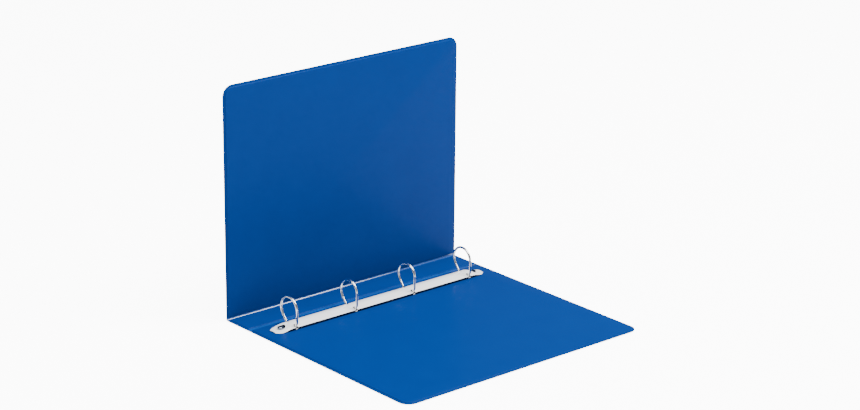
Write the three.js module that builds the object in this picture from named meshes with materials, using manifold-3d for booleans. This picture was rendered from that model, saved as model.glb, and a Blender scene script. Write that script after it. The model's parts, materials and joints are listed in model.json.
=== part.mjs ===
// A four-ring presentation binder, lying open: the back cover and the spine are flat on a desk and the
// front cover stands up from the spine. Millimetres, +Z up, +X from the spine to the back cover's free
// edge, +Y towards the head of the binder. The origin is under the middle of the binder, on the desk.
//
// Each cover panel is a board between two foils, which are welded to each other round the board's rim.
// Between the panels the two welded foils alone are the hinge. A clear film over the front and the
// spine is welded on three sides and open at the head, as a pocket. The ring mechanism is riveted to
// the back cover: an arched steel housing grips two blades, and each blade carries one half of each ring.
import * as THREE from "three";
import { mergeVertices } from "three/addons/utils/BufferGeometryUtils.js";
import Module from "manifold-3d";

const wasm = await Module();
wasm.setup();

// Cover panels
const coverHeight = 318; // foot to head
const coverReach = 255.9; // hinge line to free edge
const coverCornerRadius = 12;
const boardThickness = 1.8;
const foilThickness = 0.25;
const filmThickness = 0.15; // clear pockets
const layerGap = 0.05; // between any two layers
const hingeCut = 0.7; // the hinge foil is parted here, on the hinge line
const rimWidth = 2.5; // weld round the board, and half of each hinge
const rampWidth = 0.6; // foil climbing from the rim to the face
const boardInset = 0.3; // board's edge back from where the face begins
const filmEdge = 0.6; // film's edge back from the foil's edge
const pocketMouth = 7; // film's open edge below the head of the binder

// Ring mechanism
const ringCount = 4;
const housingMargin = 15; // cover's foot or head to the housing's end
const ringInset = 24; // housing's end to the first ring
const rivetInset = 11.5; // housing's end to the rivet
const wireRadius = 1.3;
const ringRise = 32.7; // lining to the wire's centre at the top of the ring
const spineSideRadius = 14; // bulging half of the D
const coverSideRadius = 13.2; // corner of the straight half
const ringSplit = -2.7; // where the two halves meet, from the mechanism's centre line
const ringOpening = THREE.MathUtils.degToRad(8); // turn of each half
const openRoom = 0.3; // round an open ring in a closed binder
const tipGap = 0.3;
const nibRadius = 0.6;
const nibLength = 0.9;
const socketRadius = 0.9;
const socketDepth = 1.1;
const stubRadius = 1; // foot of each ring half, through its blade
const stubClearance = 0.1;
const footOffset = 7.3; // ring foot from the centre line
const postBend = 7; // the straight half's foot leaves the straight over this height
const footLength = 2.8; // wire that stands square on its blade
const legCurve = 0.42; // share of its height over which the bulging half turns to its foot

// Housing and blades
const sheetThickness = 0.8;
const housingHalfWidth = 10;
const housingCrown = 5.2;
const housingSide = 2.6;
const housingEndHalfWidth = 5.5;
const housingEndRise = 0.9;
const lipThickness = 0.7;
const lipReach = 1.8; // inwards from the housing's outside
const flatEnd = 4; // of the housing, where the sheet is pressed flat
const lipEnd = 3; // from there to where the lips part
const notchClearance = 0.35; // each side of the wire
const notchInnerEdge = 5;
const bladeThickness = 0.9;
const bladePivotOffset = 8.8;
const bladePivotRise = 1.5;
const bladeTail = 0.2; // blade outside its pivot
const bladeGap = 0.4; // between the two blades
const bladeEnd = 6; // past the first and last ring

// Rivets
const rivetHeadRadius = 5.5;
const rivetHeadThickness = 0.5;
const rivetShankRadius = 2.2;
const rivetFlangeRadius = 3.8;
const rivetFlangeThickness = 0.8;
const rivetBoreRadius = 1.3;
const rivetBoreDepth = 2.5;
const rivetClearance = 0.3;
const dimpleDepth = 0.6; // outer foil pressed in under the rivet's head
const cupRadius = 4.2; // well in the housing round the rivet

// Worked out from the sizes above
const faceHeight = boardThickness / 2 + layerGap + foilThickness; // foil's face from the panel's middle
const panelThickness = 2 * faceHeight;
const middleHeight = faceHeight + layerGap + filmThickness; // panel's middle above the desk
const closedTilt = ringOpening / 2; // blades dip to the centre while the rings are shut
const pivotToTop = bladePivotOffset - ringSplit; // of the straight half, which rises as it opens
const ringLift = pivotToTop * Math.sin(ringOpening); // more than its top rises
const spinePitch = ringRise + wireRadius + ringLift + openRoom + panelThickness; // hinge to hinge
const bulgeRise = ringRise - spineSideRadius - bladePivotRise;
const bulgeSwing = bulgeRise * Math.sin(ringOpening) + openRoom;
const bulgeOffset = spineSideRadius - ringSplit; // wire's centre at the bulge, from the centre line
const hingeToBulge = faceHeight + bulgeSwing + openRoom + wireRadius; // with the spine upright
const centreLine = hingeToBulge + bulgeOffset; // of the mechanism, from the back hinge
const housingLength = coverHeight - 2 * housingMargin;
const ringPitch = (housingLength - 2 * ringInset) / (ringCount - 1); // 80 mm on an A4 binder
const rivetPlace = housingLength / 2 - rivetInset;
const overallWidth = middleHeight + spinePitch + coverReach;
const frontHingeX = middleHeight - overallWidth / 2;
const backHingeX = frontHingeX + spinePitch;
const mechanismX = backHingeX + centreLine;
const liningHeight = middleHeight + faceHeight; // upper face of the back cover
const big = 1000;

const blueFoil = new THREE.MeshStandardMaterial({ color: 0x0a55a5, roughness: 0.35 });
const clearFilm = new THREE.MeshStandardMaterial({
  color: 0xdfe9f5,
  roughness: 0.12,
  transparent: true,
  opacity: 0.3,
});
const greyBoard = new THREE.MeshStandardMaterial({ color: 0x8a8578, roughness: 0.95 });
const nickel = new THREE.MeshStandardMaterial({ color: 0xd8d8d4, roughness: 0.15, metalness: 1 });

// ---- Solids ----

// A three.js geometry as a manifold-3d solid.
function solidOf(geometry) {
  const bare = geometry.clone();
  bare.deleteAttribute("normal");
  bare.deleteAttribute("uv");
  const merged = mergeVertices(bare, 1e-4);
  const mesh = new wasm.Mesh({
    numProp: 3,
    vertProperties: new Float32Array(merged.attributes.position.array),
    triVerts: new Uint32Array(merged.index.array),
  });
  return new wasm.Manifold(mesh);
}

function geometryOf(solid) {
  const mesh = solid.getMesh();
  const geometry = new THREE.BufferGeometry();
  geometry.setAttribute("position", new THREE.BufferAttribute(mesh.vertProperties, 3));
  geometry.setIndex(new THREE.BufferAttribute(mesh.triVerts, 1));
  return geometry;
}

// A closed skin over rings of points, one ring after another, with both end rings capped.
// Every ring is convex and has the same number of points.
function loft(rings) {
  const count = rings[0].length;
  const index = [];
  for (let r = 0; r + 1 < rings.length; r++)
    for (let i = 0; i < count; i++) {
      const a = r * count + i;
      const b = r * count + ((i + 1) % count);
      index.push(a, b, b + count, a, b + count, a + count);
    }
  const last = (rings.length - 1) * count;
  for (let i = 1; i + 1 < count; i++) index.push(0, i + 1, i, last, last + i, last + i + 1);
  const points = rings.flat();
  const volume = index.reduce((sum, _, i) => {
    if (i % 3) return sum;
    const [a, b, c] = [0, 1, 2].map((k) => points[index[i + k]]);
    return sum + a.dot(b.clone().cross(c));
  }, 0);
  if (volume < 0) index.reverse();
  const geometry = new THREE.BufferGeometry().setFromPoints(points);
  geometry.setIndex(index);
  return geometry;
}

function boxBetween(low, high) {
  const size = high.map((v, k) => v - low[k]);
  const geometry = new THREE.BoxGeometry(...size);
  return geometry.translate(...high.map((v, k) => (v + low[k]) / 2));
}

// An upright cylinder from one height to another.
function post(radius, x, y, low, high, segments = 32) {
  const geometry = new THREE.CylinderGeometry(radius, radius, high - low, segments);
  return geometry.rotateX(Math.PI / 2).translate(x, y, (low + high) / 2);
}

function cut(geometry, ...tools) {
  return geometryOf(tools.reduce((solid, tool) => solid.subtract(solidOf(tool)), solidOf(geometry)));
}

// ---- Cover panels ----
// A panel's own frame: x from its hinge line to its other side, z = 0 in the middle of its thickness,
// +z on the inner side.

const coverPanel = { start: hingeCut / 2, end: coverReach, corner: coverCornerRadius };
const spinePanel = { start: hingeCut / 2, end: spinePitch - hingeCut / 2, corner: 0 };

// The panel's outline pulled in by an inset on all sides, with its two far corners rounded.
function outline(panel, inset, z) {
  const arcSteps = 8;
  const low = panel.start + inset;
  const high = panel.end - inset;
  const half = coverHeight / 2 - inset;
  const radius = Math.max(panel.corner - inset, 0);
  const points = [new THREE.Vector3(low, half, z), new THREE.Vector3(low, -half, z)];
  if (!radius) return [...points, new THREE.Vector3(high, -half, z), new THREE.Vector3(high, half, z)];
  for (const side of [-1, 1])
    for (let i = 0; i <= arcSteps; i++) {
      const turn = ((side < 0 ? i - arcSteps : i) * Math.PI) / 2 / arcSteps;
      const x = high - radius + radius * Math.cos(turn);
      const y = side * (half - radius) + radius * Math.sin(turn);
      points.push(new THREE.Vector3(x, y, z));
    }
  return points;
}

// A thin sheet pressed over one side of the board and flat on the rim. side is +1 for the inner foil
// and -1 for the outer one, and lift is the sheet's height over the first layer.
function sheet(panel, side, thickness, lift, edge) {
  const wall = 0.8 * thickness;
  const rimLow = layerGap / 2 + lift;
  const faceLow = boardThickness / 2 + layerGap + lift;
  const rampStart = rimWidth - lift;
  return loft([
    outline(panel, rampStart + rampWidth, side * (faceLow + thickness)),
    outline(panel, rampStart, side * (rimLow + thickness)),
    outline(panel, edge, side * (rimLow + thickness)),
    outline(panel, edge, side * rimLow),
    outline(panel, rampStart + wall, side * rimLow),
    outline(panel, rampStart + rampWidth + wall, side * faceLow),
  ]);
}

function foil(panel, side) {
  return sheet(panel, side, foilThickness, 0, 0);
}

// The pocket film lies over the outer foil and stops short of the head, which is at -y in a panel's frame.
function pocketFilm(panel) {
  const film = sheet(panel, -1, filmThickness, foilThickness + layerGap, filmEdge);
  const mouth = -coverHeight / 2 + pocketMouth;
  return cut(film, boxBetween([-big, -big, -big], [big, mouth, big]));
}

function board(panel) {
  const inset = rimWidth + rampWidth + boardInset;
  return loft([outline(panel, inset, -boardThickness / 2), outline(panel, inset, boardThickness / 2)]);
}

const rivetPlaces = [-rivetPlace, rivetPlace];

// The back board has a hole for each rivet and a wider seat on its outer side for the pressed-in foil.
function backBoard() {
  const seatRadius = rivetHeadRadius + rivetClearance + foilThickness + rivetClearance;
  const seatTop = -faceHeight + dimpleDepth + foilThickness + layerGap;
  const tools = rivetPlaces.flatMap((y) => [
    post(rivetShankRadius + rivetClearance, centreLine, y, -big, big),
    post(seatRadius, centreLine, y, -big, seatTop),
  ]);
  return cut(board(coverPanel), ...tools);
}

function backLining() {
  const tools = rivetPlaces.map((y) => post(rivetShankRadius + rivetClearance, centreLine, y, -big, big));
  return cut(foil(coverPanel, 1), ...tools);
}

// The outer foil is pressed into a dimple under each rivet head.
function backSkin() {
  const well = rivetHeadRadius + rivetClearance;
  const floor = -faceHeight + dimpleDepth;
  let solid = solidOf(foil(coverPanel, -1));
  for (const y of rivetPlaces) {
    const low = -faceHeight + foilThickness / 2;
    solid = solid
      .add(solidOf(post(well + foilThickness, centreLine, y, low, floor + foilThickness)))
      .subtract(solidOf(post(well, centreLine, y, -big, floor)))
      .subtract(solidOf(post(rivetShankRadius + rivetClearance, centreLine, y, -big, big)));
  }
  return geometryOf(solid);
}

// ---- Ring mechanism ----
// Its own frame: x from its centre line towards the cover's free edge, z = 0 on the lining.

const ringPlaces = Array.from({ length: ringCount }, (_, i) => (i - (ringCount - 1) / 2) * ringPitch);

// The housing's cross-section at y: a flat floor, two low sides and an arched top.
function archSection(y, halfWidth, floor, side, crown) {
  const arcSteps = 12;
  const points = [new THREE.Vector3(-halfWidth, y, floor), new THREE.Vector3(halfWidth, y, floor)];
  for (let i = 0; i <= arcSteps; i++) {
    const across = 1 - (2 * i) / arcSteps;
    const z = side + (crown - side) * (1 - across * across);
    points.push(new THREE.Vector3(halfWidth * across, y, z));
  }
  return points;
}

// From the full arch to the low rounded end, as shares of the way from the last ring to the end.
const housingTaper = [
  [0.2, 0],
  [0.35, 0.08],
  [0.5, 0.25],
  [0.65, 0.45],
  [0.8, 0.66],
  [0.92, 0.85],
  [1, 1],
];

// The arch along the housing's length, each wall drawn in by inset.
function arch(inset, floor, endInset) {
  const lowest = 0.02; // of the arch's side over its floor, and of its crown over its side
  const start = housingLength / 2 - ringInset;
  const end = housingLength / 2 - endInset;
  const stations = housingTaper.map(([along, drop]) => {
    const halfWidth = THREE.MathUtils.lerp(housingHalfWidth, housingEndHalfWidth, drop ** 4) - inset;
    const side = THREE.MathUtils.lerp(housingSide, housingEndRise, drop) - inset / 2;
    const crown = THREE.MathUtils.lerp(housingCrown, housingEndRise, drop) - inset;
    const sideAbove = Math.max(side, floor + lowest);
    return [start + along * (end - start), halfWidth, floor, sideAbove, Math.max(crown, sideAbove + lowest)];
  });
  const mirrored = stations.map(([y, ...rest]) => [-y, ...rest]).reverse();
  return loft([...mirrored, ...stations].map((station) => archSection(...station)));
}

function housing() {
  const lipTop = layerGap + lipThickness;
  const opening = housingHalfWidth - lipReach;
  const outside = solidOf(arch(0, layerGap, 0));
  let solid = outside.subtract(solidOf(arch(sheetThickness, lipTop, flatEnd)));
  const mouthHalf = housingLength / 2 - flatEnd - lipEnd;
  const mouth = boxBetween([-opening, -mouthHalf, -big], [opening, mouthHalf, lipTop + layerGap]);
  solid = solid.subtract(solidOf(mouth));
  for (const y of rivetPlaces) {
    const wall = post(cupRadius + sheetThickness, 0, y, layerGap, big);
    solid = solid
      .add(outside.intersect(solidOf(wall)))
      .subtract(solidOf(post(cupRadius, 0, y, layerGap + sheetThickness, big)))
      .subtract(solidOf(post(rivetShankRadius + rivetClearance / 2, 0, y, -big, big)));
  }
  const notchHalf = wireRadius + notchClearance;
  for (const y of ringPlaces)
    for (const side of [-1, 1]) {
      const ends = [side * notchInnerEdge, side * 2 * housingHalfWidth].sort((a, b) => a - b);
      const notch = boxBetween([ends[0], y - notchHalf, lipTop + layerGap], [ends[1], y + notchHalf, big]);
      solid = solid.subtract(solidOf(notch));
    }
  return geometryOf(solid);
}

// side is -1 for the spine side and +1 for the cover side. A blade lies from its pivot towards the
// centre, dipping by the closed tilt, and these give points on it.
function onBlade(side, fromPivot, height) {
  const away = side * (bladePivotOffset - fromPivot * Math.cos(closedTilt) - height * Math.sin(closedTilt));
  const rise = bladePivotRise - fromPivot * Math.sin(closedTilt) + height * Math.cos(closedTilt);
  return new THREE.Vector2(away, rise);
}

function blade(side) {
  const halfLength = ringPlaces[ringCount - 1] + bladeEnd;
  const reach = bladePivotOffset - bladeGap / 2;
  const corners = [
    [-bladeTail, -bladeThickness / 2],
    [reach, -bladeThickness / 2],
    [reach, bladeThickness / 2],
    [-bladeTail, bladeThickness / 2],
  ];
  const section = (y) =>
    corners.map(([along, height]) => {
      const p = onBlade(side, along, height);
      return new THREE.Vector3(p.x, y, p.y);
    });
  const holes = ringPlaces.map((y) => {
    const hole = new THREE.CylinderGeometry(stubRadius + stubClearance, stubRadius + stubClearance, 6, 16);
    const middle = onBlade(side, bladePivotOffset - footOffset, 0);
    return hole.rotateX(Math.PI / 2).rotateY(-side * closedTilt).translate(middle.x, y, middle.y);
  });
  return cut(loft([section(-halfLength), section(halfLength)]), ...holes);
}

// The centre line of one half of a ring, from its foot on the blade to its tip.
function ringPath(side) {
  const foot = onBlade(side, bladePivotOffset - footOffset, bladeThickness / 2 + layerGap);
  const above = onBlade(side, bladePivotOffset - footOffset, bladeThickness / 2 + layerGap + footLength);
  const radius = side < 0 ? spineSideRadius : coverSideRadius;
  const centre = new THREE.Vector2(ringSplit, ringRise - radius);
  const widest = new THREE.Vector2(ringSplit + side * radius, centre.y);
  const path = new THREE.CurvePath();
  if (side < 0) {
    const turn = new THREE.Vector2(widest.x, widest.y - legCurve * (widest.y - foot.y));
    path.add(new THREE.CubicBezierCurve(foot, above, turn, widest));
  } else {
    const bend = new THREE.Vector2(widest.x, foot.y + postBend);
    const turn = new THREE.Vector2(widest.x, foot.y + postBend / 2);
    path.add(new THREE.CubicBezierCurve(foot, above, turn, bend));
    path.add(new THREE.LineCurve(bend, widest));
  }
  const tipTurn = tipGap / 2 / radius;
  const from = side < 0 ? Math.PI : 0;
  const to = Math.PI / 2 - side * tipTurn;
  path.add(new THREE.EllipseCurve(centre.x, centre.y, radius, radius, from, to, side < 0));
  return path;
}

function ringHalf(side) {
  const wireSides = 10;
  const steps = 9;
  const path = ringPath(side);
  const places = path.curves.flatMap((curve, k) => {
    const count = curve instanceof THREE.LineCurve ? 1 : steps;
    return Array.from({ length: count + (k ? 0 : 1) }, (_, i) => {
      const t = (i + (k ? 1 : 0)) / count;
      return { at: curve.getPoint(t), along: curve.getTangent(t) };
    });
  });
  const circle = ({ at, along }, radius, shift = 0) =>
    Array.from({ length: wireSides }, (_, i) => {
      const turn = (2 * Math.PI * (i + 0.5)) / wireSides;
      const across = radius * Math.cos(turn);
      const x = at.x + shift * along.x - across * along.y;
      const z = at.y + shift * along.y + across * along.x;
      return new THREE.Vector3(x, radius * Math.sin(turn), z);
    });
  const foot = places[0];
  const tip = places[places.length - 1];
  const tipRings =
    side < 0
      ? [circle(tip, nibRadius), circle(tip, nibRadius, nibLength)]
      : [circle(tip, socketRadius), circle(tip, socketRadius, -socketDepth)];
  return loft([
    circle(foot, stubRadius, -layerGap - bladeThickness),
    circle(foot, stubRadius),
    ...places.map((place) => circle(place, wireRadius)),
    ...tipRings,
  ]);
}

// A tubular rivet: a flat head under the back cover, a shank up through it, and a rolled flange on the
// floor of the housing's cup.
function rivet() {
  const headLow = -panelThickness + layerGap;
  const headHigh = -panelThickness + dimpleDepth - layerGap;
  const flangeLow = layerGap + sheetThickness + layerGap;
  const flangeHigh = flangeLow + rivetFlangeThickness;
  const profile = [
    [0, headLow],
    [rivetHeadRadius - 0.3, headLow],
    [rivetHeadRadius, headLow + 0.2],
    [rivetHeadRadius, headHigh],
    [rivetShankRadius, headHigh],
    [rivetShankRadius, flangeLow],
    [rivetFlangeRadius, flangeLow],
    [rivetFlangeRadius - 0.2, flangeHigh - 0.3],
    [rivetFlangeRadius - 1, flangeHigh],
    [rivetBoreRadius + 0.4, flangeHigh],
    [rivetBoreRadius, flangeHigh - 0.4],
    [rivetBoreRadius, flangeHigh - rivetBoreDepth],
    [0, flangeHigh - rivetBoreDepth],
  ];
  const lathe = new THREE.LatheGeometry(profile.map(([r, z]) => new THREE.Vector2(r, z)), 28);
  return lathe.rotateX(Math.PI / 2);
}

// ---- Assembly ----

const binder = new THREE.Group();

function add(group, name, geometry, material) {
  const mesh = new THREE.Mesh(geometry, material);
  mesh.name = name;
  group.add(mesh);
  return mesh;
}

const backCover = new THREE.Group();
backCover.position.set(backHingeX, 0, middleHeight);
binder.add(backCover);
add(backCover, "back_board", backBoard(), greyBoard);
add(backCover, "back_outer_skin", backSkin(), blueFoil);
add(backCover, "back_inner_lining", backLining(), blueFoil);

// The spine runs from the back hinge towards -X, so it is turned half round.
const spine = new THREE.Group();
spine.position.set(backHingeX, 0, middleHeight);
spine.rotation.z = Math.PI;
binder.add(spine);
add(spine, "spine_board", board(spinePanel), greyBoard);
add(spine, "spine_outer_skin", foil(spinePanel, -1), blueFoil);
add(spine, "spine_inner_lining", foil(spinePanel, 1), blueFoil);
add(spine, "spine_clear_pocket", pocketFilm(spinePanel), clearFilm);

// The front cover stands on the front hinge, with its inner side facing +X.
const frontCover = new THREE.Group();
frontCover.position.set(frontHingeX, 0, middleHeight);
const upright = new THREE.Matrix4().makeBasis(
  new THREE.Vector3(0, 0, 1),
  new THREE.Vector3(0, -1, 0),
  new THREE.Vector3(1, 0, 0),
);
frontCover.setRotationFromMatrix(upright);
binder.add(frontCover);
add(frontCover, "front_board", board(coverPanel), greyBoard);
add(frontCover, "front_outer_skin", foil(coverPanel, -1), blueFoil);
add(frontCover, "front_inner_lining", foil(coverPanel, 1), blueFoil);
add(frontCover, "front_clear_pocket", pocketFilm(coverPanel), clearFilm);

const mechanism = new THREE.Group();
mechanism.position.set(mechanismX, 0, liningHeight);
binder.add(mechanism);
add(mechanism, "ring_housing", housing(), nickel);
for (const [side, word] of [
  [-1, "spine_side"],
  [1, "cover_side"],
]) {
  add(mechanism, `${word}_blade`, blade(side), nickel);
  ringPlaces.forEach((y, i) => {
    add(mechanism, `${word}_ring_half_${i + 1}`, ringHalf(side), nickel).position.y = y;
  });
}
for (const [y, word] of [
  [-rivetPlace, "foot"],
  [rivetPlace, "head"],
])
  add(mechanism, `${word}_rivet`, rivet(), nickel).position.y = y;

export default binder;
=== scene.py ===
import json
from math import cos, pi, radians, sin

import bmesh
import bpy
from mathutils import Matrix, Vector


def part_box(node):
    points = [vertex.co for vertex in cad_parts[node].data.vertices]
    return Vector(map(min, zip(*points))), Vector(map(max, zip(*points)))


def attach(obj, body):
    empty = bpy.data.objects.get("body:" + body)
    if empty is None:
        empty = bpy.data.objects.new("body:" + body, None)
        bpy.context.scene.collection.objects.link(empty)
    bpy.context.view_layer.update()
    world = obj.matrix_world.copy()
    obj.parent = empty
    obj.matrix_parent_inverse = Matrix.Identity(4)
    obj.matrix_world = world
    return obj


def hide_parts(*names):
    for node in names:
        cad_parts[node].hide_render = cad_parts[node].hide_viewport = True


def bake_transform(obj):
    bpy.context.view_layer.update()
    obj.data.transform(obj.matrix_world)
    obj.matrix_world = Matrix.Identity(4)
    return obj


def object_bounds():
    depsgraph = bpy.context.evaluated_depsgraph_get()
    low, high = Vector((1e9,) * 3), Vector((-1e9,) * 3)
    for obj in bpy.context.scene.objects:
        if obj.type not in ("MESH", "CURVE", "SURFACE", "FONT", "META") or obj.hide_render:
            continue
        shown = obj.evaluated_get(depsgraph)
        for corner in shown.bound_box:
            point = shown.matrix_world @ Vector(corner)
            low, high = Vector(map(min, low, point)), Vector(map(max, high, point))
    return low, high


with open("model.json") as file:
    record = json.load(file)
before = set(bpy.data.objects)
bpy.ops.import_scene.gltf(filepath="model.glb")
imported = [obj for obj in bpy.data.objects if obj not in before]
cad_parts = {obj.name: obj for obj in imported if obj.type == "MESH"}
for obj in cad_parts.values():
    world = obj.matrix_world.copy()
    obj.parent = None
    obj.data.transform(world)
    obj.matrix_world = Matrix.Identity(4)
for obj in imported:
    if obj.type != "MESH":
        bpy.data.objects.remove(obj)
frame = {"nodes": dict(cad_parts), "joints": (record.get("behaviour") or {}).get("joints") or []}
cad_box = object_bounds()
cad = frame["nodes"]
hinge = {joint["name"]: Vector(joint["pos_m"]) for joint in frame["joints"]}

# ---------------------------------------------------------------------------------------------
# Boards. Each of the three panels is stiffened by grey bookbinder's board, die-cut and sealed
# between the foils. The board shows nowhere, but it has the mottle and fibres of waste paper.
# ---------------------------------------------------------------------------------------------


def new_material(name, base, roughness, metallic=0.0):
    material = bpy.data.materials.new(name)
    material.use_nodes = True
    shader = material.node_tree.nodes["Principled BSDF"]
    shader.inputs["Base Color"].default_value = (*base, 1)
    shader.inputs["Roughness"].default_value = roughness
    shader.inputs["Metallic"].default_value = metallic
    return material, material.node_tree, shader


def place_group(tree, group, **values):
    node = tree.nodes.new("ShaderNodeGroup")
    node.node_tree = group
    for name, value in values.items():
        node.inputs[name.replace("_", " ")].default_value = value
    return node


def new_group(name, inputs, outputs):
    tree = bpy.data.node_groups.new(name, "ShaderNodeTree")
    for label, kind, value in inputs:
        socket = tree.interface.new_socket(name=label, in_out="INPUT", socket_type=kind)
        socket.default_value = value
    for label, kind in outputs:
        tree.interface.new_socket(name=label, in_out="OUTPUT", socket_type=kind)
    return tree, tree.nodes.new("NodeGroupInput"), tree.nodes.new("NodeGroupOutput")


def add_math(tree, operation, first, second, clamp=False):
    node = tree.nodes.new("ShaderNodeMath")
    node.operation = operation
    node.use_clamp = clamp
    for socket, value in zip(node.inputs, (first, second)):
        if isinstance(value, (int, float)):
            socket.default_value = value
        else:
            tree.links.new(value, socket)
    return node.outputs[0]


def add_noise(tree, scale, detail=2.0, stretch=(1, 1, 1)):
    """Noise over the piece, its scale in cells a metre, squeezed along each axis by stretch."""
    where = tree.nodes.new("ShaderNodeTexCoord")
    squeeze = tree.nodes.new("ShaderNodeMapping")
    squeeze.inputs["Scale"].default_value = stretch
    noise = tree.nodes.new("ShaderNodeTexNoise")
    noise.inputs["Scale"].default_value = scale
    noise.inputs["Detail"].default_value = detail
    tree.links.new(where.outputs["Object"], squeeze.inputs["Vector"])
    tree.links.new(squeeze.outputs["Vector"], noise.inputs["Vector"])
    return noise.outputs["Fac"]


def mix_colours(tree, factor, first, second):
    node = tree.nodes.new("ShaderNodeMix")
    node.data_type = "RGBA"
    node.inputs["A"].default_value = (*first, 1)
    node.inputs["B"].default_value = (*second, 1)
    tree.links.new(factor, node.inputs["Factor"])
    return node.outputs["Result"]


def add_bump(tree, shader, height, strength, distance):
    bump = tree.nodes.new("ShaderNodeBump")
    bump.inputs["Strength"].default_value = strength
    bump.inputs["Distance"].default_value = distance
    tree.links.new(height, bump.inputs["Height"])
    tree.links.new(bump.outputs["Normal"], shader.inputs["Normal"])


board_pale = (0.42, 0.40, 0.35)
board_dark = (0.27, 0.26, 0.23)
board_card, tree, shader = new_material("board_card", board_pale, 0.95)
fibres = add_noise(tree, 900, 6, stretch=(1, 0.2, 1))
tree.links.new(mix_colours(tree, fibres, board_dark, board_pale), shader.inputs["Base Color"])
add_bump(tree, shader, fibres, 0.4, 0.0003)
for node in ("back_board", "spine_board", "front_board"):
    cad[node].data.materials.clear()
    cad[node].data.materials.append(board_card)

# ---------------------------------------------------------------------------------------------
# Back cover foils. Lining and outer skin are 0.25 mm royal blue vinyl with a fine grain. They are
# pressed over the board and welded to each other round its edge, which leaves a narrow flat rim.
# ---------------------------------------------------------------------------------------------

foil_thickness = 0.00025
foil_corner = 0.012
foil_rim = 0.0025
foil_ramp = 0.0006
hinge_half = 0.0026  # the hinge strip's share of each panel
square_edge = radians(60)  # edges bent more than this are rounded
foil_blue = (0.0, 0.029, 0.165)
foil_blue_deep = (0.0, 0.025, 0.148)


def alone(piece):
    bpy.ops.object.select_all(action="DESELECT")
    piece.select_set(True)
    bpy.context.view_layer.objects.active = piece


def pick(kind, test):
    """In edit mode, leaves just the vertices, edges or faces selected that pass the test."""
    bpy.ops.mesh.select_mode(type=kind)
    bpy.ops.mesh.select_all(action="DESELECT")
    data = bpy.context.object.data
    mesh = bmesh.from_edit_mesh(data)
    for item in {"VERT": mesh.verts, "EDGE": mesh.edges, "FACE": mesh.faces}[kind]:
        if test(item):
            item.select_set(True)
    mesh.select_flush_mode()
    bmesh.update_edit_mesh(data)


def cut_away(where, normal):
    """In edit mode, removes all that lies behind a plane."""
    bpy.ops.mesh.select_all(action="SELECT")
    bpy.ops.mesh.bisect(plane_co=where, plane_no=normal, clear_inner=True)


def apply_modifier(piece, kind, **settings):
    alone(piece)
    modifier = piece.modifiers.new(kind.title(), kind)
    for name, value in settings.items():
        setattr(modifier, name, value)
    bpy.ops.object.modifier_apply(modifier=modifier.name)


def round_edges(piece, width, sharper_than):
    limits = dict(limit_method="ANGLE", angle_limit=sharper_than)
    apply_modifier(piece, "BEVEL", width=width, segments=2, **limits)


def finish_piece(piece, material, body, *replaced, slot="blue_foil", angle=30):
    alone(piece)
    bpy.ops.object.mode_set(mode="EDIT")
    bpy.ops.mesh.select_all(action="SELECT")
    bpy.ops.mesh.normals_make_consistent(inside=False)
    bpy.ops.object.mode_set(mode="OBJECT")
    bpy.ops.object.transform_apply(location=True, rotation=True, scale=True)
    bpy.ops.object.shade_smooth_by_angle(angle=radians(angle))
    piece.data.materials.clear()
    piece.data.materials.append(material)
    for node in replaced:
        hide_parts(node)
    if body:
        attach(piece, body)


# Each panel is modelled flat, from its hinge line along +X, with its inner side up, and then turned
# to its place. The head of the binder is at -Y on the spine and the front cover, which are turned
# over.
back_place = Matrix.Translation(hinge["spine_hinge"])
spine_place = back_place @ Matrix.Rotation(pi, 4, "Z")
upright = Matrix(((0, 0, 1), (0, -1, 0), (1, 0, 0))).to_4x4()
front_place = Matrix.Translation(hinge["front_cover_hinge"]) @ upright


def box_in_panel(node, place):
    corners = [place.inverted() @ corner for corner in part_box(node)]
    return [Vector(pick_one(values) for values in zip(*corners)) for pick_one in (min, max)]


def press_sheet(name, node, place, side, thickness, rim, hinge_sides, hinge_edge, corner):
    """A sheet pressed over one side of the board, flat at its rim. side is 1 for the inner side."""
    low, high = box_in_panel(node, place)
    rim_height = (low.z if side > 0 else high.z) + side * thickness
    rise = high.z - low.z - thickness
    half = max(high.y, -low.y)
    middle = (low.x + high.x) / 2
    bpy.ops.object.select_all(action="DESELECT")
    bpy.ops.mesh.primitive_plane_add(size=1, location=(middle, 0, rim_height))
    sheet = bpy.context.object
    sheet.name = sheet.data.name = name
    sheet.scale = (high.x - low.x, 2 * half, 1)
    bpy.ops.object.transform_apply(location=True, rotation=True, scale=True)
    bpy.ops.object.mode_set(mode="EDIT")
    if corner:
        pick("VERT", lambda vertex: vertex.co.x > middle)
        bpy.ops.mesh.bevel(offset=corner, segments=14, affect="VERTICES")
    bpy.ops.mesh.select_all(action="SELECT")
    bpy.ops.mesh.inset(thickness=rim)
    bpy.ops.mesh.inset(thickness=foil_ramp)
    bpy.ops.transform.translate(value=(0, 0, side * rise))
    pick("EDGE", lambda edge: edge.calc_face_angle(0) > 0.1)
    bpy.ops.mesh.bevel(offset=0.4 * foil_ramp, segments=4, affect="EDGES", clamp_overlap=True)
    if "near" in hinge_sides:
        cut_away((hinge_edge, 0, 0), (1, 0, 0))
    if "far" in hinge_sides:
        cut_away((2 * middle - hinge_edge, 0, 0), (-1, 0, 0))
    if low.y + half > 0.001:
        cut_away((0, low.y, 0), (0, 1, 0))
    bpy.ops.object.mode_set(mode="OBJECT")
    apply_modifier(sheet, "SOLIDIFY", thickness=thickness, offset=-side)
    round_edges(sheet, 0.2 * thickness, square_edge)
    sheet.matrix_world = place
    return sheet


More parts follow.
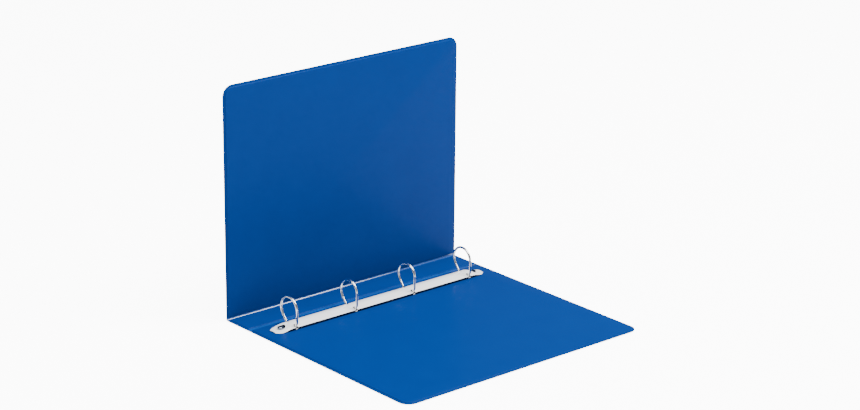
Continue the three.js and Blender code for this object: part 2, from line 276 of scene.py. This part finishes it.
# Grain of embossed vinyl: pebbles under half a millimetre across, and the slack of a sheet that is
# held only by its welded edge.
foil_grain, group_in, group_out = new_group(
    "foil grain",
    [("Pebble Scale", "NodeSocketFloat", 2400.0), ("Slack", "NodeSocketFloat", 0.5)],
    [("Height", "NodeSocketFloat"), ("Mottle", "NodeSocketFloat")],
)
where = foil_grain.nodes.new("ShaderNodeTexCoord")
pebbles = foil_grain.nodes.new("ShaderNodeTexVoronoi")
pebbles.feature = "SMOOTH_F1"
foil_grain.links.new(where.outputs["Object"], pebbles.inputs["Vector"])
foil_grain.links.new(group_in.outputs["Pebble Scale"], pebbles.inputs["Scale"])
slack = add_noise(foil_grain, 14, 1)
cloud = add_noise(foil_grain, 38, 4)
slack_height = add_math(foil_grain, "MULTIPLY", slack, group_in.outputs["Slack"])
pebble_height = add_math(foil_grain, "MULTIPLY", pebbles.outputs["Distance"], 0.05)
height = add_math(foil_grain, "ADD", slack_height, pebble_height)
foil_grain.links.new(height, group_out.inputs["Height"])
foil_grain.links.new(cloud, group_out.inputs["Mottle"])


def foil_material(name, pale, deep, gloss, slackness, shine):
    material, tree, shader = new_material(name, pale, gloss)
    shader.inputs["IOR"].default_value = 1.53
    shader.inputs["Specular IOR Level"].default_value = shine
    grain = place_group(tree, foil_grain, Slack=slackness)
    colour = mix_colours(tree, grain.outputs["Mottle"], deep, pale)
    tree.links.new(colour, shader.inputs["Base Color"])
    rough = add_math(tree, "MULTIPLY_ADD", grain.outputs["Mottle"], 0.12)
    rough.node.inputs[2].default_value = gloss - 0.06
    tree.links.new(rough, shader.inputs["Roughness"])
    add_bump(tree, shader, grain.outputs["Height"], 0.35, 0.0012)
    return material


blue_foil = foil_material("blue_foil", foil_blue, foil_blue_deep, 0.34, 1.0, 0.04)

foil_sheet = dict(thickness=foil_thickness, rim=foil_rim, hinge_edge=hinge_half)
cover_sheet = dict(foil_sheet, hinge_sides=["near"], corner=foil_corner)
spine_sheet = dict(foil_sheet, hinge_sides=["near", "far"], corner=0)


def turn(name, centre, profile, closed):
    """A turned piece: a circle drawn up through (radius, height) steps, over centre."""
    radius, rise = profile[0]
    bpy.ops.object.select_all(action="DESELECT")
    bpy.ops.mesh.primitive_circle_add(
        vertices=64,
        radius=radius,
        fill_type="NGON" if closed else "NOTHING",
        location=centre + Vector((0, 0, rise)),
    )
    piece = bpy.context.object
    piece.name = piece.data.name = name
    bpy.ops.object.transform_apply(location=True, rotation=True, scale=True)
    bpy.ops.object.mode_set(mode="EDIT")
    bpy.ops.mesh.select_mode(type="VERT")
    bpy.ops.mesh.select_all(action="SELECT")
    for next_radius, next_rise in profile[1:]:
        lift = (0, 0, next_rise - rise)
        bpy.ops.mesh.extrude_region_move(TRANSFORM_OT_translate={"value": lift})
        grow = next_radius / radius
        bpy.ops.transform.resize(value=(grow, grow, 1), center_override=centre)
        radius, rise = next_radius, next_rise
    bpy.ops.mesh.select_all(action="SELECT")
    bpy.ops.mesh.normals_make_consistent(inside=False)
    bpy.ops.object.mode_set(mode="OBJECT")
    return piece


def drill(piece, centres, radius):
    """Cuts a round hole through a piece, upright, at each centre."""
    bpy.ops.object.select_all(action="DESELECT")
    drills = []
    for centre in centres:
        bpy.ops.mesh.primitive_cylinder_add(vertices=64, radius=radius, depth=0.02, location=centre)
        drills.append(bpy.context.object)
    for each in drills:
        each.select_set(True)
    bpy.context.view_layer.objects.active = drills[0]
    bpy.ops.object.join()
    apply_modifier(piece, "BOOLEAN", operation="DIFFERENCE", object=drills[0], solver="EXACT")
    bpy.data.objects.remove(drills[0])


# The housing's two rivets go through both foils. Round each head the outer skin is pressed into
# a dimple, so that the head lies flush.
rivet_names = ["foot_rivet", "head_rivet"]
rivet_centres = [sum(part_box(name), Vector()) / 2 for name in rivet_names]
shank_hole = 0.00235
dimple_radius = 0.0062
dimple_depth = 0.00062

back_lining = press_sheet("back_cover_lining", "back_inner_lining", back_place, 1, **cover_sheet)
drill(back_lining, rivet_centres, shank_hole)
finish_piece(back_lining, blue_foil, "back_cover", "back_inner_lining")
back_skin = press_sheet("back_cover_skin", "back_outer_skin", back_place, -1, **cover_sheet)
drill(back_skin, rivet_centres, dimple_radius)
finish_piece(back_skin, blue_foil, "back_cover", "back_outer_skin")
skin_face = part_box("back_outer_skin")[0].z
for name, centre in zip(rivet_names, rivet_centres):
    dimple = turn(
        name.replace("rivet", "dimple"),
        Vector((centre.x, centre.y, skin_face + foil_thickness / 2)),
        [
            (dimple_radius + 0.00005, 0),
            (dimple_radius - 0.00015, 0.00003),
            (dimple_radius - 0.0003, 0.00012),
            (dimple_radius - 0.00035, dimple_depth - 0.00008),
            (dimple_radius - 0.00045, dimple_depth),
            (shank_hole, dimple_depth),
        ],
        closed=False,
    )
    apply_modifier(dimple, "SOLIDIFY", thickness=0.8 * foil_thickness, offset=0)
    finish_piece(dimple, blue_foil, "back_cover", angle=40)

# ---------------------------------------------------------------------------------------------
# Spine foils. The same two sheets of foil run on over the spine's narrow board.
# ---------------------------------------------------------------------------------------------

spine_lining = press_sheet("spine_lining", "spine_inner_lining", spine_place, 1, **spine_sheet)
finish_piece(spine_lining, blue_foil, "spine", "spine_inner_lining")
spine_skin = press_sheet("spine_skin", "spine_outer_skin", spine_place, -1, **spine_sheet)
finish_piece(spine_skin, blue_foil, "spine", "spine_outer_skin")

# ---------------------------------------------------------------------------------------------
# Front cover foils, the same as the back cover's.
# ---------------------------------------------------------------------------------------------

front_lining = press_sheet(
    "front_cover_lining", "front_inner_lining", front_place, 1, **cover_sheet
)
finish_piece(front_lining, blue_foil, "front_cover", "front_inner_lining")
front_skin = press_sheet("front_cover_skin", "front_outer_skin", front_place, -1, **cover_sheet)
finish_piece(front_skin, blue_foil, "front_cover", "front_outer_skin")

# ---------------------------------------------------------------------------------------------
# Hinges. Between two boards the welded foils alone bend, in a strip about 5 mm wide that the
# welding tool has pressed glossy. The front one is folded square and the back one is flat.
# ---------------------------------------------------------------------------------------------

strip_thickness = 0.00055
strip_edge_round = 0.00006
fold_radius = 0.0019
fold_steps = 12
strip_length = 2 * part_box("back_inner_lining")[1].y

# The strips' blue is paler than the foil's, a painted sheen for the light that the glossy strip
# catches.
hinge_painted_sheen = (0.0, 0.09, 0.40)
hinge_foil = foil_material("hinge_foil", hinge_painted_sheen, foil_blue, 0.26, 0.4, 1.0)
pressed_gloss = next(node for node in hinge_foil.node_tree.nodes if node.type == "BSDF_PRINCIPLED")
pressed_gloss.inputs["Coat Weight"].default_value = 1.0
pressed_gloss.inputs["Coat Roughness"].default_value = 0.2
pressed_gloss.inputs["Coat IOR"].default_value = 1.8


def start_strip(name, line, flat):
    """The flat part of a strip on the +X side of the hinge line, from its edge to the fold."""
    bpy.ops.object.select_all(action="DESELECT")
    middle = line + Vector((hinge_half - flat / 2, 0, 0))
    bpy.ops.mesh.primitive_plane_add(size=1, location=middle)
    strip = bpy.context.object
    strip.name = strip.data.name = name
    strip.scale = (flat, strip_length, 1)
    bpy.ops.object.transform_apply(location=True, rotation=True, scale=True)
    bpy.ops.object.mode_set(mode="EDIT")
    pick("EDGE", lambda edge: all(v.co.x < middle.x for v in edge.verts))
    return strip


def finish_strip(strip):
    bpy.ops.object.mode_set(mode="OBJECT")
    apply_modifier(strip, "SOLIDIFY", thickness=strip_thickness, offset=0)
    round_edges(strip, strip_edge_round, square_edge)
    finish_piece(strip, hinge_foil, None)
    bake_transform(strip)


line = hinge["front_cover_hinge"]
flat = hinge_half - fold_radius
strip = start_strip("front_hinge_strip", line, flat)
fold_centre = line + Vector((fold_radius, 0, fold_radius))
bpy.ops.mesh.spin(steps=fold_steps, angle=-pi / 2, center=fold_centre, axis=(0, 1, 0))
pick("EDGE", lambda edge: all(abs(v.co.z - line.z - fold_radius) < 1e-5 for v in edge.verts))
bpy.ops.mesh.extrude_region_move(TRANSFORM_OT_translate={"value": (0, 0, flat)})
finish_strip(strip)

line = hinge["spine_hinge"]
strip = start_strip("back_hinge_strip", line, flat)
step = 2 * fold_radius / fold_steps
for _ in range(fold_steps):
    bpy.ops.mesh.extrude_region_move(TRANSFORM_OT_translate={"value": (-step, 0, 0)})
bpy.ops.mesh.extrude_region_move(TRANSFORM_OT_translate={"value": (-flat, 0, 0)})
finish_strip(strip)

# ---------------------------------------------------------------------------------------------
# Clear pockets. A 0.15 mm clear film lies over the front and the spine, welded on three sides with
# the foils and open at the head, so that a title sheet slides in.
# ---------------------------------------------------------------------------------------------

film_thickness = 0.00015
film_rim = 0.0022
film_hinge_edge = 0.0019

# The film has the foil's tint, or its own whiteness would veil the blue behind it.
film_tint = (0.01, 0.07, 0.30)
clear_film, tree, shader = new_material("clear_film", film_tint, 0.09)
shader.inputs["IOR"].default_value = 1.5
shader.inputs["Coat Weight"].default_value = 1.0
shader.inputs["Coat Roughness"].default_value = 0.06
grain = place_group(tree, foil_grain, Slack=1.6)
facing = tree.nodes.new("ShaderNodeLayerWeight")
facing.inputs["Blend"].default_value = 0.35
alpha = add_math(tree, "MULTIPLY_ADD", facing.outputs["Fresnel"], 0.6, clamp=True)
alpha.node.inputs[2].default_value = 0.08
tree.links.new(alpha, shader.inputs["Alpha"])
add_bump(tree, shader, grain.outputs["Height"], 0.3, 0.0012)

film_sheet = dict(thickness=film_thickness, rim=film_rim, hinge_edge=film_hinge_edge)
front_film = press_sheet(
    "front_pocket_film", "front_clear_pocket", front_place, -1, **film_sheet,
    hinge_sides=["near"], corner=foil_corner,
)
finish_piece(front_film, clear_film, "front_cover", "front_clear_pocket", slot="clear_film")
spine_film = press_sheet(
    "spine_pocket_film", "spine_clear_pocket", spine_place, -1, **film_sheet,
    hinge_sides=["near", "far"], corner=0,
)
finish_piece(spine_film, clear_film, "spine", "spine_clear_pocket", slot="clear_film")

# ---------------------------------------------------------------------------------------------
# Ring housing. One strip of 0.8 mm steel rolled to an arch, its edges curled in under the blades,
# its ends drawn down flat and blunt, each with a dished seat for a rivet. Bright nickel plate.
# ---------------------------------------------------------------------------------------------

sheet_steel = 0.0008
arch_rise = 0.0026  # of the crown over the arch's springing
lip_reach = 0.0018
taper_length = 0.020  # from the full arch to the end
taper_steps = 9
tongue_half = 0.0050
tongue_height = 0.0011
wire_low, wire_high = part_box("cover_side_ring_half_1")
wire_radius = (wire_high.y - wire_low.y) / 2
notch_half = wire_radius + 0.00035
notch_inner = 0.0050
seat_radius = 0.0041
seat_floor = 0.00105
steel_edge_round = 0.00012
painted_shade_slope = 0.4  # upward share of the normal below which a face gets the painted shade

polish_lines, group_in, group_out = new_group(
    "polish lines",
    [("Line Scale", "NodeSocketFloat", 500.0)],
    [("Lines", "NodeSocketFloat"), ("Haze", "NodeSocketFloat")],
)
lines = add_noise(polish_lines, 900, 3, stretch=(1, 0.02, 1))
polish_lines.links.new(group_in.outputs["Line Scale"], lines.node.inputs["Scale"])
haze = add_noise(polish_lines, 90, 4)
polish_lines.links.new(lines, group_out.inputs["Lines"])
polish_lines.links.new(haze, group_out.inputs["Haze"])


def plated_material(name, bright, dull, gloss, line_scale, metal=1.0):
    material, tree, shader = new_material(name, bright, gloss, metallic=metal)
    polish = place_group(tree, polish_lines, Line_Scale=line_scale)
    colour = mix_colours(tree, polish.outputs["Haze"], dull, bright)
    tree.links.new(colour, shader.inputs["Base Color"])
    rough = add_math(tree, "MULTIPLY_ADD", polish.outputs["Haze"], 0.1)
    rough.node.inputs[2].default_value = gloss - 0.03
    tree.links.new(rough, shader.inputs["Roughness"])
    add_bump(tree, shader, polish.outputs["Lines"], 0.12, 0.00008)
    return material


# All of the housing is bright plate, but its parts are toned with painted light for what they
# mirror.
# The crown is a mostly diffuse white, a painted highlight. The upright sides and the slots' lips
# are painted dark, a painted shade for the shade that real plate would show there, and the seats
# are painted blue-black, a painted shade and a painted reflection of the blue cover.
crown_painted_highlight, crown_painted_highlight_dull = (1.0, 1.0, 0.98), (0.97, 0.96, 0.94)
nickel_painted_highlight = plated_material("nickel_painted_highlight", crown_painted_highlight, crown_painted_highlight_dull, 0.22, 900, metal=0.15)
nickel_painted_shade = plated_material("nickel_painted_shade", (0.11, 0.11, 0.12), (0.05, 0.05, 0.06), 0.22, 600)
seat_painted_shade = plated_material("seat_painted_shade", (0.16, 0.20, 0.28), (0.10, 0.13, 0.18), 0.14, 600)

housing_low, housing_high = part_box("ring_housing")
housing_middle = (housing_low + housing_high) / 2
housing_half = (housing_high.x - housing_low.x) / 2
housing_end = (housing_high.y - housing_low.y) / 2
springing = housing_high.z - arch_rise
arch_radius = (housing_half**2 + arch_rise**2) / (2 * arch_rise)
bpy.ops.object.select_all(action="DESELECT")
bpy.ops.mesh.primitive_cylinder_add(
    vertices=180,
    radius=arch_radius,
    depth=2 * housing_end,
    end_fill_type="NOTHING",
    rotation=(pi / 2, 0, 0),
    location=(housing_middle.x, housing_middle.y, housing_high.z - arch_radius),
)
housing = bpy.context.object
housing.name = housing.data.name = "housing_arch"
bpy.ops.object.transform_apply(location=True, rotation=True, scale=True)
bpy.ops.object.mode_set(mode="EDIT")
cut_away((0, 0, springing), (0, 0, 1))
pick("EDGE", lambda edge: all(abs(v.co.z - springing) < 1e-6 for v in edge.verts))
wall = springing - housing_low.z
bpy.ops.mesh.extrude_region_move(TRANSFORM_OT_translate={"value": (0, 0, -wall)})
for side in (-1, 1):
    foot = housing_middle.x + side * housing_half
    pick(
        "EDGE",
        lambda edge: all(
            abs(v.co.x - foot) < 1e-5 and abs(v.co.z - springing + wall) < 1e-6 for v in edge.verts
        ),
    )
    bpy.ops.mesh.extrude_region_move(TRANSFORM_OT_translate={"value": (-side * lip_reach, 0, 0)})
for side in (-1, 1):
    for step in range(taper_steps + 1):
        along = step / taper_steps
        station = side * (housing_end - taper_length * (1 - along))
        drop = along**2 * (3 - 2 * along)
        if step < taper_steps:
            bpy.ops.mesh.select_all(action="SELECT")
            bpy.ops.mesh.bisect(plane_co=(0, station, 0), plane_no=(0, 1, 0))
        pick("VERT", lambda vertex: abs(vertex.co.y - station) < 1e-6)
        narrow = 1 - (1 - tongue_half / housing_half) * along**6
        low = 1 - (1 - tongue_height / (housing_high.z - housing_low.z)) * drop
        floor_point = (housing_middle.x, station, housing_low.z)
        bpy.ops.transform.resize(value=(narrow, 1, low), center_override=floor_point)
lip_end = housing_end - taper_length
pick(
    "FACE",
    lambda face: abs(face.normal.z) > 0.9
    and face.calc_center_median().z < housing_low.z + 0.0002
    and abs(face.calc_center_median().y - housing_middle.y) > lip_end,
)
bpy.ops.mesh.delete(type="FACE")
bpy.ops.mesh.select_all(action="SELECT")
bpy.ops.mesh.normals_make_consistent(inside=False)
bpy.ops.object.mode_set(mode="OBJECT")
apply_modifier(housing, "SOLIDIFY", thickness=sheet_steel, offset=-1, use_even_offset=True)


ring_names = [f"ring_half_{number}" for number in range(1, 5)]
ring_places = [sum(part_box("spine_side_" + name), Vector()).y / 2 for name in ring_names]

cutters = []
for place in ring_places:
    for side in (-1, 1):
        reach = housing_half + 0.001 - notch_inner
        across = housing_middle.x + side * (notch_inner + reach / 2)
        sill = housing_low.z + sheet_steel
        bpy.ops.object.select_all(action="DESELECT")
        bpy.ops.mesh.primitive_cube_add(size=1, location=(across, place, sill + 0.004))
        notch = bpy.context.object
        notch.scale = (reach, 2 * notch_half, 0.008)
        bpy.ops.object.transform_apply(location=True, rotation=True, scale=True)
        apply_modifier(notch, "BEVEL", width=0.0009, segments=5, limit_method="ANGLE")
        cutters.append(notch)
bpy.ops.object.select_all(action="DESELECT")
for cutter in cutters:
    cutter.select_set(True)
bpy.context.view_layer.objects.active = cutters[0]
bpy.ops.object.join()
apply_modifier(housing, "BOOLEAN", operation="DIFFERENCE", object=cutters[0], solver="EXACT")
bpy.data.objects.remove(cutters[0])
drill(housing, rivet_centres, seat_radius)
round_edges(housing, steel_edge_round, radians(38))
# The housing's crown takes the white plate, a painted highlight.
finish_piece(housing, nickel_painted_highlight, "back_cover", "ring_housing", slot="nickel_plate", angle=35)
# Faces that turn away from the top, the sides, the slots' lips and the underside, take the dark
# plate, a painted shade.
housing.data.materials.append(nickel_painted_shade)
for face in housing.data.polygons:
    if face.normal.z < painted_shade_slope:
        face.material_index = 1

# The dished seats are drawn down from the arch, each with a hole for the rivet's shank.
seat_wall = 0.0004
for name, rivet_centre in zip(rivet_names, rivet_centres):
    centre = Vector((housing_middle.x, rivet_centre.y, housing_low.z))
    top = housing_high.z - housing_low.z
    seat = turn(
        name.replace("rivet", "seat"),
        centre,
        [
            (shank_hole, seat_floor - sheet_steel + 0.0003),
            (seat_radius - 0.0008, seat_floor - sheet_steel + 0.0003),
            (seat_radius - 0.0003, seat_floor - sheet_steel + 0.0006),
            (seat_radius - 0.00015, 0.45 * top),
            (seat_radius + 0.0001, 0.62 * top),
        ],
        closed=False,
    )
    apply_modifier(seat, "SOLIDIFY", thickness=seat_wall, offset=0)
    # The seats take a dark blue-grey plate, a painted shade and a painted reflection of the blue
    # cover.
    finish_piece(seat, seat_painted_shade, "back_cover", slot="nickel_plate", angle=50)

# ---------------------------------------------------------------------------------------------
# Blades. Two flat strips of spring steel under the arch, hinged in its curled edges, that snap
# over the centre. Plated more thinly than the housing, with rolling lines along them.
# ---------------------------------------------------------------------------------------------

spring_steel = plated_material("spring_steel", (0.62, 0.61, 0.59), (0.45, 0.44, 0.43), 0.32, 1500)
for node in ("spine_side_blade", "cover_side_blade"):
    cad[node].data.materials.clear()
    cad[node].data.materials.append(spring_steel)

# ---------------------------------------------------------------------------------------------
# Rings. Each half is 2.6 mm nickelled wire, bent cold, riveted over under its blade. The spine side
# bulges, the cover side is straight, and a nib in one tip enters a socket in the other.
# ---------------------------------------------------------------------------------------------

ring_split = housing_middle.x - 0.0027  # where the tips meet
tip_gap = 0.0003
tip_inset = 0.00025  # the rounding of each tip's rim
foot_length = 0.0028
foot_offset = 0.00727  # of each foot from the mechanism's centre line
leg_curve = 0.42
post_bend = 0.007
stub_radius = 0.0010
stub_length = 0.00095
blade_tilt = radians(4)
nib_radius, nib_length = 0.0006, 0.0009
socket_radius, socket_depth = 0.0009, 0.0011
quarter = 0.5523  # handle of a quarter circle, as a share of its radius

ring_nickel = plated_material("ring_nickel", (0.93, 0.92, 0.90), (0.85, 0.84, 0.82), 0.05, 500)


def cap_test(centre, direction):
    """Passes the flat end of a wire that faces along direction at centre."""

    def test(face):
        near = (face.calc_center_median() - centre).length < wire_radius / 2
        return near and face.normal.dot(direction) > 0.9

    return test


def bend_wire(name, side, place):
    """One ring half, bent from its foot on the blade to its tip. side is -1 for the spine side."""
    low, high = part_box("spine_side_ring_half_1" if side < 0 else "cover_side_ring_half_1")
    top = high.z - wire_radius
    widest = low.x + wire_radius if side < 0 else high.x - wire_radius
    radius = abs(ring_split - widest)
    stand = Vector((-side * sin(blade_tilt), 0, cos(blade_tilt)))
    foot = Vector((housing_middle.x + side * foot_offset, place, low.z + stub_length))
    shoulder = Vector((widest, place, top - radius))
    tip = Vector((ring_split + side * tip_gap / 2, place, top))
    drop = shoulder.z - foot.z
    curl = quarter * radius
    # Each bend is its point, the pull on the wire before it and the pull after it.
    bends = [(foot, -0.001 * stand, foot_length * stand)]
    if side < 0:
        bends.append((shoulder, Vector((0, 0, -leg_curve * drop)), Vector((0, 0, curl))))
    else:
        knee = Vector((widest, place, foot.z + post_bend))
        third = (shoulder.z - knee.z) / 3
        bends.append((knee, Vector((0, 0, -post_bend / 2)), Vector((0, 0, third))))
        bends.append((shoulder, Vector((0, 0, -third)), Vector((0, 0, curl))))
    bends.append((tip, Vector((side * curl, 0, 0)), Vector((-side * 0.001, 0, 0))))
    bpy.ops.object.select_all(action="DESELECT")
    bpy.ops.curve.primitive_bezier_curve_add(location=(0, 0, 0))
    wire = bpy.context.object
    wire.name = wire.data.name = name
    spline = wire.data.splines[0]
    spline.bezier_points.add(len(bends) - 2)
    for point, (where, before, after) in zip(spline.bezier_points, bends):
        point.handle_left_type = point.handle_right_type = "FREE"
        point.co = where
        point.handle_left = where + before
        point.handle_right = where + after
    wire.data.resolution_u = 22
    wire.data.bevel_depth = wire_radius
    wire.data.bevel_resolution = 6
    wire.data.use_fill_caps = True
    bpy.ops.object.convert(target="MESH")
    wire = bpy.context.object
    bpy.ops.object.mode_set(mode="EDIT")
    bpy.ops.mesh.select_all(action="SELECT")
    bpy.ops.mesh.remove_doubles(threshold=1e-6)
    bpy.ops.mesh.normals_make_consistent(inside=False)
    pick("FACE", cap_test(foot, -stand))
    bpy.ops.mesh.inset(thickness=wire_radius - stub_radius)
    bpy.ops.mesh.extrude_region_move(TRANSFORM_OT_translate={"value": -stub_length * stand})
    outward = Vector((-side, 0, 0))
    pick("FACE", cap_test(tip, outward))
    bpy.ops.mesh.inset(thickness=tip_inset, depth=0.0)
    bpy.ops.transform.translate(value=0.00012 * outward)
    if side < 0:
        bpy.ops.mesh.inset(thickness=wire_radius - tip_inset - nib_radius)
        bpy.ops.mesh.extrude_region_move(TRANSFORM_OT_translate={"value": nib_length * outward})
    else:
        bpy.ops.mesh.inset(thickness=wire_radius - tip_inset - socket_radius)
        bpy.ops.mesh.extrude_region_move(TRANSFORM_OT_translate={"value": -socket_depth * outward})
    bpy.ops.object.mode_set(mode="OBJECT")
    return wire


for side, word in ((-1, "spine_side"), (1, "cover_side")):
    first = bend_wire(f"{word}_wire_1", side, ring_places[0])
    wires = [first]
    for number, place in enumerate(ring_places[1:], 2):
        alone(first)
        bpy.ops.object.duplicate(linked=False)
        wire = bpy.context.object
        wire.name = wire.data.name = f"{word}_wire_{number}"
        wire.location.y = place - ring_places[0]
        wires.append(wire)
    for wire, name in zip(wires, ring_names):
        node = f"{word}_{name}"
        finish_piece(wire, ring_nickel, f"{word}_rings", node, slot="nickel_plate", angle=40)

# ---------------------------------------------------------------------------------------------
# Rivets. A tubular steel rivet goes up through the cover near each end of the housing: its flat
# head sits in a dimple of the outer skin, and its tube is rolled over in the housing's seat.
# ---------------------------------------------------------------------------------------------

# The rivets' plate is darker and bluer than the rings', a painted shade and a painted reflection of
# the blue cover.
rivet_painted_shade = plated_material("rivet_painted_shade", (0.50, 0.53, 0.60), (0.38, 0.41, 0.46), 0.12, 700)
head_radius = 0.0055
head_thickness = 0.0005
shank_radius = 0.0022
flange_radius = 0.0034
flange_height = 0.0008
bore_radius = 0.0017
bore_depth = 0.0025

for name, rivet_centre in zip(rivet_names, rivet_centres):
    low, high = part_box(name)
    tall = high.z - low.z
    collar = tall - flange_height
    rivet = turn(
        name + "_turned",
        Vector((rivet_centre.x, rivet_centre.y, low.z)),
        [
            (head_radius - 0.0008, 0),
            (head_radius - 0.0002, 0.00008),
            (head_radius, 0.0002),
            (head_radius, head_thickness - 0.00006),
            (head_radius - 0.00006, head_thickness),
            (shank_radius, head_thickness),
            (shank_radius, collar),
            (flange_radius - 0.0001, collar),
            (flange_radius, collar + 0.0001),
            (flange_radius - 0.00006, collar + 0.0003),
            (flange_radius - 0.0004, collar + 0.0006),
            (flange_radius - 0.0007, collar + 0.00078),
            (flange_radius - 0.0009, tall),
            (bore_radius + 0.0005, tall - 0.0001),
            (bore_radius + 0.0002, tall - 0.00045),
            (bore_radius, tall - 0.0009),
            (bore_radius, tall - bore_depth),
        ],
        closed=True,
    )
    finish_piece(rivet, rivet_painted_shade, "back_cover", name, slot="nickel_plate", angle=50)

# ---------------------------------------------------------------------------------------------
# Studio. A pale floor, a pale surround and three soft lights. The camera stands before the
# binder's near corner, a little over two metres away, and looks down on it.
# ---------------------------------------------------------------------------------------------

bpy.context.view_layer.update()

floor_size = 14
camera_glow = 9.0
mirrored_dimming = -0.75
bpy.ops.object.select_all(action="DESELECT")
bpy.ops.mesh.primitive_plane_add(size=floor_size, location=(0, 0, cad_box[0].z))
floor = bpy.context.object
floor.name = "studio_floor"
floor_paint, tree, shader = new_material("floor_paint", (0.9, 0.9, 0.9), 0.6)
shader.inputs["Emission Color"].default_value = (1, 1, 1, 1)
seen = tree.nodes.new("ShaderNodeLightPath").outputs["Is Camera Ray"]
tree.links.new(add_math(tree, "MULTIPLY", seen, camera_glow), shader.inputs["Emission Strength"])
floor.data.materials.append(floor_paint)

# The surround and the floor are near white to the camera alone. In glossy surfaces the surround is
# dim, which leaves the plated wire its dark streaks.
world = bpy.data.worlds.new("studio_surround")
world.use_nodes = True
tree = world.node_tree
surround = tree.nodes["Background"]
surround.inputs["Color"].default_value = (0.93, 0.96, 1.0, 1)
path = tree.nodes.new("ShaderNodeLightPath")
bright = add_math(tree, "MULTIPLY_ADD", path.outputs["Is Camera Ray"], camera_glow)
bright.node.inputs[2].default_value = 1.0
strength = add_math(tree, "MULTIPLY_ADD", path.outputs["Is Glossy Ray"], mirrored_dimming)
tree.links.new(bright, strength.node.inputs[2])
tree.links.new(strength, surround.inputs["Strength"])
bpy.context.scene.world = world


def soft_light(name, place, aim, size, power):
    data = bpy.data.lights.new(name, "AREA")
    data.shape = "RECTANGLE"
    data.size, data.size_y = size
    data.energy = power
    light = bpy.data.objects.new(name, data)
    light.location = place
    light.rotation_euler = (Vector(aim) - Vector(place)).to_track_quat("-Z", "Y").to_euler()
    bpy.context.scene.collection.objects.link(light)


soft_light("key_softbox", (1.2, 1.5, 2.2), (0, 0, 0.1), (1.2, 1.2), 72)
soft_light("side_softbox", (-0.6, -2.4, 1.6), (0, 0, 0.1), (1.2, 1.6), 14)
soft_light("top_softbox", (0.5, 0.3, 2.6), (0, 0, 0.1), (1.6, 1.6), 105)

camera_place = Vector((1.8657, -1.6163, 0.9773))
camera_azimuth = radians(49.17)
camera_dip = radians(18.86)
camera_roll = radians(0.53)
camera = bpy.data.objects.new("camera", bpy.data.cameras.new("camera"))
camera.data.sensor_width = 36
camera.data.lens = 105.8
camera.location = camera_place
turned = Matrix.Rotation(camera_azimuth, 4, "Z") @ Matrix.Rotation(pi / 2 - camera_dip, 4, "X")
camera.rotation_euler = (turned @ Matrix.Rotation(camera_roll, 4, "Z")).to_euler()
bpy.context.scene.collection.objects.link(camera)
bpy.context.scene.camera = camera
